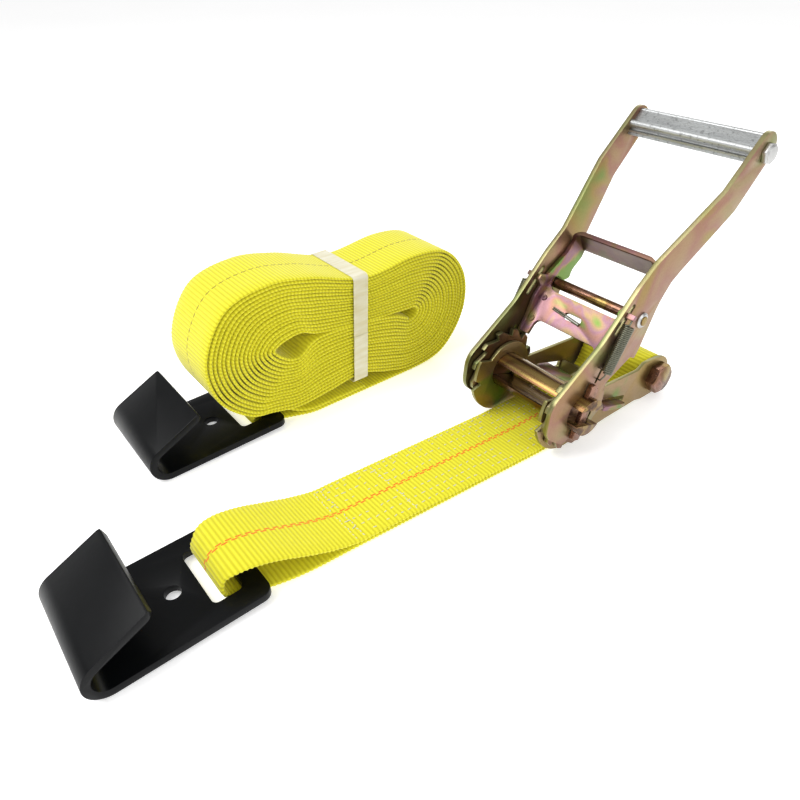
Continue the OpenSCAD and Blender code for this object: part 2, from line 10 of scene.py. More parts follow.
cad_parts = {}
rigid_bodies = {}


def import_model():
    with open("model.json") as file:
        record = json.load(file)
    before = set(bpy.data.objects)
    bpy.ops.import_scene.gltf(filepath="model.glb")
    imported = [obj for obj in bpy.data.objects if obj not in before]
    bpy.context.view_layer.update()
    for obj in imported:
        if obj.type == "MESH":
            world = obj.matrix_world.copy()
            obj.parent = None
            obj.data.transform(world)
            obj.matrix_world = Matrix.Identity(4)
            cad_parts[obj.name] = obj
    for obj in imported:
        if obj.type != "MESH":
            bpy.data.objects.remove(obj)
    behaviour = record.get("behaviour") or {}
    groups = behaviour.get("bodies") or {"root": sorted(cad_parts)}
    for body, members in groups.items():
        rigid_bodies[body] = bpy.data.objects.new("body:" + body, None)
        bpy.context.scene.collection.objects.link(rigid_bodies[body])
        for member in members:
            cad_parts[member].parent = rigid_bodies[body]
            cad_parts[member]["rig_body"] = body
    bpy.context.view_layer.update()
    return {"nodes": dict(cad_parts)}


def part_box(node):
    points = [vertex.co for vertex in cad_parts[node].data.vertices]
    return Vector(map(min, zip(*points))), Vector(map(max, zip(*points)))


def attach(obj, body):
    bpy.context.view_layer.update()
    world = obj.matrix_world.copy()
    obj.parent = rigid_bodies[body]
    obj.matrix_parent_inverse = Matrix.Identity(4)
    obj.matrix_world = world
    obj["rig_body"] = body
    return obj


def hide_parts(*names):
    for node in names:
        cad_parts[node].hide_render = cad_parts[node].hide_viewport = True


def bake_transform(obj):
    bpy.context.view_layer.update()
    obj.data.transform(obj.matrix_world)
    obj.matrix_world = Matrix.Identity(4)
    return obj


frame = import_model()

MM = 0.001
NODES = frame["nodes"]


# ---------- places, taken from the frame ----------

def middle(node):
    low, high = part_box(node)
    return (low + high) / 2


PLATE_MIDDLE = (middle("frame_plate_left") + middle("frame_plate_right")) / 2
SPINDLE = middle("ratchet_wheel_left")
ORIGIN = Vector((SPINDLE.x, PLATE_MIDDLE.y, 0))     # on the floor, under the spindle's middle


def at(x, y, z):
    """A point given in millimetres from the spot on the floor under the spindle."""
    return ORIGIN + Vector((x, y, z)) * MM


# ---------- materials ----------

class Shader:
    """A material with its nodes within reach."""

    def __init__(self, name, **constants):
        self.material = bpy.data.materials.new(name)
        self.material.use_nodes = True
        self.tree = self.material.node_tree
        self.base = self.tree.nodes["Principled BSDF"]
        for socket, value in constants.items():
            self.base.inputs[socket.replace("_", " ")].default_value = value

    def node(self, kind, **settings):
        made = self.tree.nodes.new(kind)
        for key, value in settings.items():
            setattr(made, key, value)
        return made

    def link(self, output, target):
        self.tree.links.new(output, target)

    def math(self, operation, a, b=None):
        made = self.node("ShaderNodeMath", operation=operation)
        for i, value in enumerate((a, b)):
            if value is None:
                continue
            if isinstance(value, (int, float)):
                made.inputs[i].default_value = value
            else:
                self.link(value, made.inputs[i])
        return made.outputs[0]

    def noise(self, scale, detail=3.0, rough=0.5, vector=None, distortion=0.0):
        made = self.node("ShaderNodeTexNoise")
        made.inputs["Scale"].default_value = scale
        made.inputs["Detail"].default_value = detail
        made.inputs["Roughness"].default_value = rough
        made.inputs["Distortion"].default_value = distortion
        if vector is None:
            vector = self.coordinates()
        self.link(vector, made.inputs["Vector"])
        return made.outputs["Fac"]

    def coordinates(self):
        return self.node("ShaderNodeTexCoord").outputs["Object"]

    def stretched(self, scale, vector=None):
        made = self.node("ShaderNodeMapping")
        made.inputs["Scale"].default_value = scale
        self.link(vector or self.coordinates(), made.inputs["Vector"])
        return made.outputs["Vector"]

    def ramp(self, factor, stops):
        made = self.node("ShaderNodeValToRGB")
        ramp = made.color_ramp
        while len(ramp.elements) < len(stops):
            ramp.elements.new(0.5)
        for element, (place, colour) in zip(ramp.elements, stops):
            element.position = place
            element.color = (*colour, 1)
        self.link(factor, made.inputs["Fac"])
        return made.outputs["Color"]

    def mix(self, factor, a, b, blend="MIX"):
        made = self.node("ShaderNodeMix", data_type="RGBA", blend_type=blend)
        for socket, value in ((made.inputs[0], factor), (made.inputs[6], a), (made.inputs[7], b)):
            if isinstance(value, (int, float)):
                socket.default_value = value
            elif isinstance(value, tuple):
                socket.default_value = (*value, 1)
            else:
                self.link(value, socket)
        return made.outputs[2]

    def between(self, factor, low, high):
        made = self.node("ShaderNodeMapRange")
        made.inputs["To Min"].default_value = low
        made.inputs["To Max"].default_value = high
        self.link(factor, made.inputs["Value"])
        return made.outputs["Result"]

    def bump(self, height, distance, strength):
        made = self.node("ShaderNodeBump")
        made.inputs["Strength"].default_value = strength
        made.inputs["Distance"].default_value = distance
        self.link(height, made.inputs["Height"])
        self.link(made.outputs["Normal"], self.base.inputs["Normal"])

    def colour(self, output):
        self.link(output, self.base.inputs["Base Color"])

    def roughness(self, output):
        self.link(output, self.base.inputs["Roughness"])


GOLD = (0.33, 0.235, 0.075)
TAN = (0.36, 0.25, 0.135)
PINK = (0.33, 0.175, 0.125)
LILAC = (0.30, 0.165, 0.215)
LEAF = (0.17, 0.29, 0.065)
BRONZE = (0.17, 0.085, 0.035)
DARK = (0.075, 0.040, 0.020)
# painted highlight colour of the punched edges
EDGE_HIGHLIGHT = (0.27, 0.29, 0.13)
HANDLE = math.radians(47.5)
ALONG_HANDLE = (math.cos(HANDLE), 0.0, math.sin(HANDLE))


def from_spindle(s):
    """How far along the handle a point of a piece stands at rest, in metres from the spindle."""
    offset = s.node("ShaderNodeVectorMath", operation="SUBTRACT")
    offset.inputs[1].default_value = SPINDLE
    s.link(s.coordinates(), offset.inputs[0])
    dot = s.node("ShaderNodeVectorMath", operation="DOT_PRODUCT")
    dot.inputs[1].default_value = ALONG_HANDLE
    s.link(offset.outputs["Vector"], dot.inputs[0])
    return dot.outputs["Value"]


def near_middle(s, half):
    """1 within `half` metres of the ratchet's middle plane, else 0."""
    parts = s.node("ShaderNodeSeparateXYZ")
    s.link(s.coordinates(), parts.inputs[0])
    off = s.math("ABSOLUTE", s.math("SUBTRACT", parts.outputs[1], ORIGIN.y))
    return s.math("LESS_THAN", off, half)


def zinc(name, stops, patch=22.0, rough=(0.26, 0.42), painted_shade=None, drawn_along=None, edge_highlight=False):
    """Yellow-passivated zinc plate: patches of gold, pink and green over brushed steel.

    shaded is (from, to, half width, colour, amount): painted shade, a darker colour that sets in between
    two distances along the handle near the middle plane, standing in for the shade and dark reflections
    between the arms and under the pull plate's bar. drawn_along stretches the patches into streaks, as on
    a turned bar.
    edge_highlight paints a highlight on the punched edges: a paler, greener tint than the flat sides
    have."""
    s = Shader(name, Metallic=0.85)
    patches = s.noise(patch, detail=2.0, rough=0.55, distortion=0.6,
                      vector=s.stretched(drawn_along) if drawn_along else None)
    film = s.ramp(patches, stops)
    dust = s.noise(900.0, detail=2.0)
    film = s.mix(s.between(dust, 0.0, 0.45), film, (0.50, 0.42, 0.30), "MULTIPLY")
    # painted shade: a darker colour near the middle plane over a stretch of the handle, standing in for
    # shade and dark reflections
    if painted_shade:
        first, last, half, colour, amount = painted_shade
        fade = s.node("ShaderNodeMapRange", interpolation_type="SMOOTHSTEP")
        fade.inputs["From Min"].default_value = first
        fade.inputs["From Max"].default_value = last
        s.link(from_spindle(s), fade.inputs["Value"])
        painted_shade_mask = s.math("MULTIPLY", fade.outputs["Result"], near_middle(s, half))
        film = s.mix(s.math("MULTIPLY", painted_shade_mask, amount), film, colour)
    # painted highlight: faces whose normals lie across the middle plane, the punched edges, get a paler,
    # greener tint
    if edge_highlight:
        sides = s.node("ShaderNodeSeparateXYZ")
        s.link(s.node("ShaderNodeTexCoord").outputs["Normal"], sides.inputs[0])
        cut = s.math("LESS_THAN", s.math("ABSOLUTE", sides.outputs[1]), 0.5)
        film = s.mix(s.math("MULTIPLY", cut, 0.6), film, EDGE_HIGHLIGHT)
    s.colour(film)
    drawn = s.noise(160.0, detail=4.0)
    s.roughness(s.between(drawn, *rough))
    s.bump(s.noise(1400.0, detail=3.0), 0.00004, 0.5)
    return s.material


def bright_metal(name, colour, rough, scuffed=0.0):
    s = Shader(name, Metallic=1.0)
    grain = s.noise(260.0, detail=4.0, vector=s.stretched((1.0, 0.15, 1.0)))
    pits = s.ramp(s.noise(420.0, detail=5.0, rough=0.7),
                  [(0.36, (0.12, 0.12, 0.11)), (0.46, (1, 1, 1))])
    tone = s.ramp(grain, [(0.25, tuple(c * 0.82 for c in colour)), (0.75, colour)])
    s.colour(s.mix(scuffed, tone, pits, "MULTIPLY"))
    s.roughness(s.between(grain, rough, rough + 0.18))
    s.bump(grain, 0.00006, 0.5)
    return s.material


def hook_enamel(name):
    s = Shader(name, Coat_Weight=0.03, Coat_Roughness=0.2, Specular_IOR_Level=0.13)
    flow = s.noise(55.0, detail=3.0)
    specks = s.ramp(s.noise(700.0, detail=6.0, rough=0.8),
                    [(0.70, (0.0022, 0.0026, 0.0032)), (0.84, (0.03, 0.03, 0.03))])
    s.colour(specks)
    s.roughness(s.between(flow, 0.28, 0.44))
    s.bump(s.noise(320.0, detail=2.0), 0.00008, 0.35)
    return s.material


RIB = 2.5 * MM            # pitch of the webbing's cross ribs


def webbing(name, tracer):
    """Ribbed yellow webbing.

    tracer is (colour, where its lines run across, half their width, dash period, dash share)."""
    s = Shader(name, Roughness=0.78, Sheen_Weight=0.25, Sheen_Roughness=0.45, Specular_IOR_Level=0.3)
    uv = s.node("ShaderNodeUVMap", uv_map="UVMap")
    parts = s.node("ShaderNodeSeparateXYZ")
    s.link(uv.outputs["UV"], parts.inputs[0])
    across, along = parts.outputs[0], parts.outputs[1]
    wave = s.math("SINE", s.math("MULTIPLY", along, 2 * math.pi / RIB))
    rib = s.math("MULTIPLY_ADD", wave, 0.5)
    rib.node.inputs[2].default_value = 0.5
    yarn = s.noise(1.0, detail=3.0, rough=0.6,
                   vector=s.stretched((2600.0, 520.0, 1.0), uv.outputs["UV"]))
    soil = s.noise(34.0, detail=4.0, rough=0.6)
    # painted light and shade: each rib's crest is coloured lighter and its trough darker
    body = s.ramp(rib, [(0.0, (0.61, 0.55, 0.010)), (0.55, (0.82, 0.77, 0.022)),
                        (1.0, (0.88, 0.84, 0.04))])
    body = s.mix(s.between(yarn, 0.0, 0.45), body, (0.74, 0.68, 0.012))
    body = s.mix(s.between(soil, 0.0, 0.16), body, (0.62, 0.56, 0.03))
    colour, lines, half_width, period, share = tracer
    for number, place in enumerate(lines):
        off = s.math("ABSOLUTE", s.math("SUBTRACT", across, place))
        on_line = s.math("LESS_THAN", off, half_width)
        step = s.math("FRACT", s.math("ADD", s.math("DIVIDE", along, period), 0.5 * number))
        dash = s.math("LESS_THAN", step, share)
        body = s.mix(s.math("MULTIPLY", on_line, dash), body, colour)
    s.colour(body)
    height = s.math("ADD", s.math("MULTIPLY", rib, 0.7), s.math("MULTIPLY", yarn, 0.5))
    s.bump(height, 0.00035, 0.8)
    return s.material


def thread(name, colour):
    s = Shader(name, Roughness=0.6, Sheen_Weight=0.3)
    s.colour(s.ramp(s.noise(2500.0, detail=2.0), [(0.3, tuple(c * 0.8 for c in colour)), (0.7, colour)]))
    return s.material


def film(name):
    s = Shader(name, Transmission_Weight=0.12, Coat_Weight=0.25, Coat_Roughness=0.25)
    lines = s.noise(60.0, detail=4.0, vector=s.stretched((1.0, 5.0, 5.0)))
    s.colour(s.ramp(lines, [(0.3, (0.74, 0.68, 0.44)), (0.7, (0.86, 0.83, 0.68))]))
    s.roughness(s.between(lines, 0.3, 0.5))
    s.bump(s.noise(500.0, detail=2.0, vector=s.stretched((0.3, 1.0, 4.0))), 0.0001, 0.5)
    return s.material


plate_zinc = zinc("zinc_plate", [(0.30, BRONZE), (0.44, GOLD), (0.58, TAN), (0.70, LEAF)],
                  edge_highlight=True)
# painted shade on the arms' inner faces, darkest up to 45 mm from the spindle and gone by 85 mm
arm_zinc = zinc("zinc_arm", [(0.30, LEAF), (0.42, GOLD), (0.50, PINK), (0.57, TAN), (0.72, LEAF)],
                patch=18.0, painted_shade=(0.085, 0.045, 0.0352, (0.055, 0.043, 0.014), 0.8),
                edge_highlight=True)
# painted shade on the pull plate's bar, 88 to 96 mm along the handle, standing in for its dark reflection
pull_zinc = zinc("zinc_pull",
                 [(0.40, LEAF), (0.47, TAN), (0.53, LILAC), (0.60, PINK), (0.68, LEAF)],
                 patch=34.0, painted_shade=(0.088, 0.096, 0.04, (0.085, 0.038, 0.030), 0.85))
shaft_zinc = zinc("zinc_shaft",
                  [(0.34, DARK), (0.44, BRONZE), (0.52, GOLD), (0.60, BRONZE), (0.68, DARK)],
                  patch=110.0, rough=(0.16, 0.3), drawn_along=(1.0, 0.04, 1.0))
rod_zinc = zinc("zinc_rod", [(0.32, DARK), (0.46, PINK), (0.58, BRONZE), (0.70, GOLD)],
                patch=60.0, rough=(0.2, 0.32))
wheel_zinc = zinc("zinc_wheel", [(0.3, DARK), (0.45, BRONZE), (0.55, PINK), (0.7, LEAF)],
                  patch=35.0, edge_highlight=True)
rivet_bright = bright_metal("rivet_bright", (0.58, 0.58, 0.57), 0.28)
grip_metal = bright_metal("grip_metal", (0.47, 0.48, 0.48), 0.34, scuffed=0.45)
spring_steel = bright_metal("spring_oiled", (0.20, 0.20, 0.15), 0.32)
hook_black = hook_enamel("hook_enamel")
strap_short = webbing("webbing_short",
                      ((0.88, 0.17, 0.012), (-0.6 * MM, 0.75 * MM), 0.46 * MM, 5.2 * MM, 0.64))
strap_long = webbing("webbing_long",
                     ((0.22, 0.13, 0.01), (0.3 * MM,), 0.38 * MM, 5.0 * MM, 0.66))
stitch_white = thread("stitch_thread", (0.74, 0.73, 0.62))
band_film = film("band_film")


# ---------- meshes ----------

WELD = 2e-6                            # points of a CAD piece closer than this are one
FLAT_WITHIN = math.radians(0.6)
SHARP_FROM = math.radians(35)
SHADED_SHARP_FROM = math.radians(32)


def smooth(mesh):
    mesh.polygons.foreach_set("use_smooth", [True] * len(mesh.polygons))


def link_object(name, mesh, material, body=None, replaced=()):
    obj = bpy.data.objects.new(name, mesh)
    bpy.context.scene.collection.objects.link(obj)
    if material is not None:
        mesh.materials.clear()
        mesh.materials.append(material)
    if body:
        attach(obj, body)
    if replaced:
        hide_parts(*replaced)
    return obj


def paint(node, material):
    mesh = NODES[node].data
    mesh.materials.clear()
    mesh.materials.append(material)


def finished(node, material, edge):
    """The CAD piece with its punched edges rounded over by `edge` metres."""
    mesh = NODES[node].data.copy()
    bm = bmesh.new()
    bm.from_mesh(mesh)
    bmesh.ops.remove_doubles(bm, verts=bm.verts, dist=WELD)
    bmesh.ops.dissolve_limit(bm, angle_limit=FLAT_WITHIN, verts=bm.verts, edges=bm.edges)
    sharp = [e for e in bm.edges if len(e.link_faces) == 2 and e.calc_face_angle(0) > SHARP_FROM]
    bmesh.ops.bevel(bm, geom=sharp, offset=edge, segments=2, profile=0.6, affect="EDGES",
                    clamp_overlap=True, offset_type="OFFSET")
    bm.to_mesh(mesh)
    bm.free()
    smooth(mesh)
    mesh.set_sharp_from_angle(angle=SHADED_SHARP_FROM)
    body = NODES[node]["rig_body"]
    return link_object(node + "_finished", mesh, material, body, (node,))


def smooth_line(points, closed=False, steps=12):
    """Catmull-Rom curve through points of any size."""
    p = np.array(points, float)
    n = len(p)
    out = []
    for i in range(n if closed else n - 1):
        if closed:
            a, b, c, d = p[i - 1], p[i], p[(i + 1) % n], p[(i + 2) % n]
        else:
            a, b, c, d = p[max(i - 1, 0)], p[i], p[i + 1], p[min(i + 2, n - 1)]
        for j in range(steps):
            t = j / steps
            out.append(0.5 * (2 * b + (c - a) * t + (2 * a - 5 * b + 4 * c - d) * t * t
                              + (3 * b - a - 3 * c + d) * t ** 3))
    if not closed:
        out.append(p[-1])
    return np.array(out)


def spaced(path, step, closed):
    """The path again with an even number of steps of about `step`, and each station's distance."""
    p = np.vstack([path, path[:1]]) if closed else path
    along = np.concatenate([[0], np.cumsum(np.linalg.norm(np.diff(p[:, :2], axis=0), axis=1))])
    count = max(4, round(along[-1] / step))
    count += count % 2
    where = np.linspace(0, along[-1], count + 1)
    if closed:
        where = where[:-1]
    columns = [np.interp(where, along, p[:, k]) for k in range(p.shape[1])]
    return np.stack(columns, axis=1), where, along[-1]


def webbing_mesh(name, path, closed=False, selvedge=0.28):
    """A woven strap along path: rows of x, z, middle y, width, thickness in millimetres.

    Every other station is a rib's crest, where the strap is thicker and its selvedge stands out."""
    p, where, total = spaced(np.array(path, float), RIB / MM / 2, closed)
    n = len(p)
    if closed:
        ahead, behind = np.roll(p, -1, axis=0), np.roll(p, 1, axis=0)
    else:
        ahead, behind = np.vstack([p[1:], p[-1:]]), np.vstack([p[:1], p[:-1]])
    tangent = ahead[:, :2] - behind[:, :2]
    tangent /= np.linalg.norm(tangent, axis=1)[:, None]
    normal = np.stack([-tangent[:, 1], tangent[:, 0]], axis=1)
    crest = np.where(np.arange(n) % 2 == 0, 1.0, -1.0)
    half_t = p[:, 4] / 2 * (1 + 0.07 * (crest - 1))
    half_w = p[:, 3] / 2 + selvedge * (crest - 1)
    # the section: which side of the middle, how far in from the edge, and height in half plies
    section = [(-1, 0.9, 1.0), (-1, 9.0, 1.0), (0, 0, 1.0), (1, 9.0, 1.0), (1, 0.9, 1.0),
               (1, 0.22, 0.62), (1, 0, 0), (1, 0.22, -0.62),
               (1, 0.9, -1.0), (1, 9.0, -1.0), (0, 0, -1.0), (-1, 9.0, -1.0), (-1, 0.9, -1.0),
               (-1, 0.22, -0.62), (-1, 0, 0), (-1, 0.22, 0.62)]
    m = len(section)
    verts = np.zeros((n, m, 3))
    across = np.zeros((n, m))
    for k, (side, inset, height) in enumerate(section):
        y = side * (half_w - inset)
        across[:, k] = y
        verts[:, k, 0] = p[:, 0] + normal[:, 0] * half_t * height
        verts[:, k, 2] = p[:, 1] + normal[:, 1] * half_t * height
        verts[:, k, 1] = p[:, 2] + y
    verts = verts * MM + np.array(ORIGIN)
    mesh = bpy.data.meshes.new(name)
    faces, uvs = [], []
    for i in range(n if closed else n - 1):
        j = (i + 1) % n
        v0 = where[i]
        v1 = total if j == 0 else where[j]
        for k in range(m):
            q = (k + 1) % m
            faces.append((i * m + k, j * m + k, j * m + q, i * m + q))
            uvs += [(across[i, k], v0), (across[j, k], v1),
                    (across[j, q], v1), (across[i, q], v0)]
    if not closed:
        faces.append(tuple(range(m)))
        uvs += [(across[0, k], where[0]) for k in range(m)]
        faces.append(tuple((n - 1) * m + k for k in reversed(range(m))))
        uvs += [(across[n - 1, k], where[-1]) for k in reversed(range(m))]
    mesh.from_pydata([tuple(v) for v in verts.reshape(-1, 3)], [], faces)
    layer = mesh.uv_layers.new(name="UVMap")
    flat = (np.array(uvs) * MM).astype(np.float32)
    layer.data.foreach_set("uv", flat.ravel())
    smooth(mesh)
    mesh.update()
    bm = bmesh.new()
    bm.from_mesh(mesh)
    bmesh.ops.recalc_face_normals(bm, faces=bm.faces)
    bm.to_mesh(mesh)
    bm.free()
    return mesh


def tube_mesh(name, line, radius):
    """A round wire along a line of points in metres."""
    curve = bpy.data.curves.new(name, "CURVE")
    curve.dimensions = "3D"
    curve.bevel_depth = radius
    curve.bevel_resolution = 3
    curve.use_fill_caps = True
    spline = curve.splines.new("POLY")
    spline.points.add(len(line) - 1)
    for point, place in zip(spline.points, line):
        point.co = (*place, 1)
    holder = bpy.data.objects.new(name, curve)
    bpy.context.scene.collection.objects.link(holder)
    bpy.context.view_layer.update()
    graph = bpy.context.evaluated_depsgraph_get()
    mesh = bpy.data.meshes.new_from_object(holder.evaluated_get(graph))
    mesh.name = name
    bpy.data.objects.remove(holder)
    bpy.data.curves.remove(curve)
    smooth(mesh)
    return mesh


# ---------- metal ----------

for node, material, edge in [
    ("frame_plate_left", plate_zinc, 0.35), ("frame_plate_right", plate_zinc, 0.35),
    ("lock_plate", pull_zinc, 0.35), ("pull_plate", pull_zinc, 0.3),
    ("handle_arm_left", arm_zinc, 0.4), ("handle_arm_right", arm_zinc, 0.4),
    ("ratchet_wheel_left", wheel_zinc, 0.3), ("ratchet_wheel_right", wheel_zinc, 0.3),
    ("spindle_key_left", rod_zinc, 0.35), ("spindle_key_right", rod_zinc, 0.35),
    ("spindle_half_upper", shaft_zinc, 0.4), ("spindle_half_lower", shaft_zinc, 0.4),
    ("rear_bolt", rod_zinc, 0.4), ("rear_nut", plate_zinc, 0.4), ("cross_rod", rod_zinc, 0.5),
    ("front_hook", hook_black, 0.6), ("long_hook", hook_black, 0.6),
    ("grip_bolt", rivet_bright, 0.4),
]:
    finished(node, material, edge * MM)

for node, material in [
    ("rear_sleeve", rivet_bright), ("lock_spring_seat", plate_zinc), ("grip", grip_metal),
    ("grip_nut", rivet_bright), ("rod_washers", rivet_bright), ("pull_plate_rivets", pull_zinc),
    ("pull_wire_clip", spring_steel),
]:
    paint(node, material)


# ---------- springs ----------

def on_handle(u, y, v):
    """A point given along the handle, across it and off it, in millimetres from the spindle."""
    return at(u * math.cos(HANDLE) - v * math.sin(HANDLE), y,
              SPINDLE.z / MM + u * math.sin(HANDLE) + v * math.cos(HANDLE))


POINTS_PER_TURN = 14


def helix(start, end, radius, turns, first, last):
    """Points of a coil round the line from start to end, between two shares of its length."""
    start, end = Vector(start), Vector(end)
    axis = (end - start).normalized()
    side = axis.cross(Vector((0, 1, 0))).normalized()
    other = axis.cross(side)
    count = turns * POINTS_PER_TURN
    line = []
    for i in range(count + 1):
        share = i / count
        angle = 2 * math.pi * turns * share
        centre = start.lerp(end, first + (last - first) * share)
        line.append(centre + (side * math.cos(angle) + other * math.sin(angle)) * radius)
    return line


SPRING_OUT = 40.3         # how far from the middle plane a tension spring stands, in millimetres
SPRING_COIL = (0.125, 0.875)         # where its coil begins and ends, as shares of its length
SPRING_LEAD = 0.02                   # the straight wire before and after the coil, likewise
SPRING_EYE = 2.6 * MM                # how far from its ends the wire turns


def tension_spring(side, node):
    """One of the pull plate's springs, from a slit in the arm to an ear of the plate."""
    low = on_handle(22.8, side * SPRING_OUT, 5.2)
    high = on_handle(62, side * SPRING_OUT, 14.3)
    axis = (high - low).normalized()
    first, last = SPRING_COIL
    line = [on_handle(22.2, side * 35.2, 5.0), on_handle(22.4, side * 38.6, 5.1)]
    line += [low + axis * SPRING_EYE, low.lerp(high, first - SPRING_LEAD)]
    line += helix(low, high, 3.0 * MM, 27, first, last)
    line += [low.lerp(high, last + SPRING_LEAD), high - axis * SPRING_EYE, high - axis * 0.4 * MM]
    obj = link_object(node + "_wire", tube_mesh(node + "_wire", line, 0.55 * MM), spring_steel,
                      replaced=(node,))
    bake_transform(obj)


tension_spring(1, "pull_spring_left")
tension_spring(-1, "pull_spring_right")


LOCK_SPRING_R = 3.0 * MM
LOCK_SPRING_FALL = math.radians(17)


def locking_spring():
    """The compression spring that pushes the locking plate forward."""
    low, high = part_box("lock_spring")
    y = (low.y + high.y) / 2
    reach_x = LOCK_SPRING_R * math.sin(LOCK_SPRING_FALL)
    reach_z = LOCK_SPRING_R * math.cos(LOCK_SPRING_FALL)
    front = Vector((low.x + reach_x, y, high.z - reach_z))
    rear = Vector((high.x - reach_x, y, low.z + reach_z))
    line = helix(front, rear, 2.55 * MM, 7, 0.03, 0.97)
    obj = link_object("lock_spring_wire", tube_mesh("lock_spring_wire", line, 0.42 * MM),
                      rivet_bright, replaced=("lock_spring",))
    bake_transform(obj)


locking_spring()


# ---------- short strap ----------

PLY = 2.25
FLOOR_PLY = PLY / 2 + 0.02           # height of the lower ply's middle
UPPER_PLY = 2.3 + 0.1 + PLY / 2      # height of the upper ply's middle
WIDE = 50.0
SLOT_WIDE = 37.0                     # the webbing's width where it is squeezed in a hook's slot
SLOT_FROM_FRONT = 64.7            # a slot's edge, from the front end of its hook
WRAP_R = 12.6                        # round the rear bolt's sleeve
BOLT = middle("rear_sleeve") - ORIGIN
BOLT_X, BOLT_Z = BOLT.x / MM, BOLT.z / MM


def hook_slot(node):
    """The slot's front edge and the middle of a hook, in millimetres from under the spindle."""
    low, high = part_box(node)
    front = (low.x - ORIGIN.x) / MM + SLOT_FROM_FRONT
    return front, ((low.y + high.y) / 2 - ORIGIN.y) / MM


def lean(x, hook_x, hook_y):
    """Sideways drift of the short strap toward its hook."""
    return hook_y * min(1.0, max(0.0, (x + 20) / (hook_x + 20)))


def short_strap_path():
    x0, y0 = hook_slot("front_hook")
    rows = [(x, FLOOR_PLY, WIDE) for x in np.linspace(-140, 70, 15)]
    rows += [(BOLT_X + WRAP_R * math.cos(a), BOLT_Z + WRAP_R * math.sin(a), WIDE)
             for a in (math.radians(degrees) for degrees in range(-90, 166, 15))]
    rows += [(74.5, 8.5, WIDE), (70, 5, WIDE)]
    rows += [(x, UPPER_PLY, WIDE) for x in np.linspace(62, -140, 13)]
    rows += [(x0 + dx, z, w) for dx, z, w in [
        (80, UPPER_PLY, WIDE), (66, UPPER_PLY + 3, WIDE), (50, 12, 49), (35, 17.6, 47),
        (22, 20.4, 45), (13, 19.6, 42), (8, 15.6, SLOT_WIDE), (6.2, 9.6, SLOT_WIDE),
        (8.4, 4, SLOT_WIDE), (13.5, FLOOR_PLY + 0.2, SLOT_WIDE), (20, FLOOR_PLY, 39),
        (32, FLOOR_PLY, 46), (50, FLOOR_PLY, WIDE), (72, FLOOR_PLY, WIDE)]]
    line = smooth_line([(x, z, lean(x, x0, y0), w, PLY) for x, z, w in rows], closed=True, steps=8)
    line[:, 1] = np.maximum(line[:, 1], FLOOR_PLY)
    return line


short_path = short_strap_path()
short_strap = link_object("short_strap", webbing_mesh("short_strap", short_path, closed=True),
                          strap_short, "ratchet_frame", ("fixed_strap",))


STITCH_HALF_WIDTH = 0.34
STITCH_RISE = 0.30
STITCH_SUNK = 0.02
STITCH_ROUND = 6                     # points round a stitch
STITCH_SHAPE = ((-0.5, 0.35), (-0.25, 0.9), (0.25, 0.9), (0.5, 0.35))    # place along it, size
TRACER_CLEAR = 2.0                   # no stitch is closer than this to the strap's middle


def stitches():
    """Lengthwise rows of lock stitches through both plies, and three cross rows toward the loop."""
    draw = random.Random(7)
    x0, y0 = hook_slot("front_hook")
    bm = bmesh.new()
    top = UPPER_PLY + PLY / 2 - STITCH_SUNK
    count = STITCH_ROUND

    def one(x, y, length, angle):
        if abs(y) < TRACER_CLEAR:
            return
        c, s = math.cos(angle), math.sin(angle)
        rings = []
        for share, size in STITCH_SHAPE:
            ring = []
            for k in range(count):
                a = 2 * math.pi * k / count
                side = STITCH_HALF_WIDTH * size * math.cos(a)
                up = STITCH_RISE * size * math.sin(a)
                px = x + share * length * c - side * s
                py = y + lean(x, x0, y0) + share * length * s + side * c
                ring.append(bm.verts.new(at(px, py, top + up)))
            rings.append(ring)
        for a, b in zip(rings, rings[1:]):
            for k in range(count):
                bm.faces.new((a[k], a[(k + 1) % count], b[(k + 1) % count], b[k]))
        bm.faces.new(rings[0])
        bm.faces.new(list(reversed(rings[-1])))

    rows = (-20.5, -14.5, -8.5, 6.0, 12.0, 17.5, 21.5)
    for row in rows:
        x = -150.0 + draw.uniform(0, 3)
        while x < 40:
            if draw.random() > 0.18:
                y = row + draw.uniform(-0.35, 0.35)
                one(x, y, draw.uniform(1.6, 3.2), draw.uniform(-0.25, 0.25))
            x += draw.uniform(4.2, 5.6)
    for x in (-151.5, -147.0, -112.0):
        y = -22.0
        while y < 22.5:
            one(x + draw.uniform(-0.4, 0.4), y, 1.7, math.pi / 2 + draw.uniform(-0.5, 0.5))
            y += draw.uniform(2.2, 3.2)
    bmesh.ops.recalc_face_normals(bm, faces=bm.faces)
    mesh = bpy.data.meshes.new("short_strap_stitches")
    bm.to_mesh(mesh)
    bm.free()
    smooth(mesh)
    link_object("short_strap_stitches", mesh, stitch_white, "ratchet_frame")


stitches()


# ---------- long strap ----------

COIL_LOW, COIL_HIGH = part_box("long_strap_coil")
COIL_Y = ((COIL_LOW.y + COIL_HIGH.y) / 2 - ORIGIN.y) / MM
COIL_WIDE = (COIL_HIGH.y - COIL_LOW.y) / MM
TURNS = 17
OUTER = [(-20, 0.1), (10, 6), (30, 32), (31, 62), (14, 85), (-15, 91.2), (-58, 87.6),
         (-98, 100), (-128, 104.4), (-158, 96), (-175, 66), (-171, 36), (-153, 16.5),
         (-136, 11.9), (-116, 8), (-92, 9.4), (-66, 12.4), (-44, 5)]
INNER = [(-23, 43), (-17.5, 44), (-15, 46.5), (-15.2, 49.5), (-18.5, 51.3), (-25, 51.6),
         (-58, 54.2), (-94, 58.6), (-108, 63.6), (-121, 62), (-128.5, 58), (-126, 53),
         (-120, 48), (-116, 46.3), (-110, 46.6), (-96, 54.6), (-62, 53.2), (-36, 48.6)]


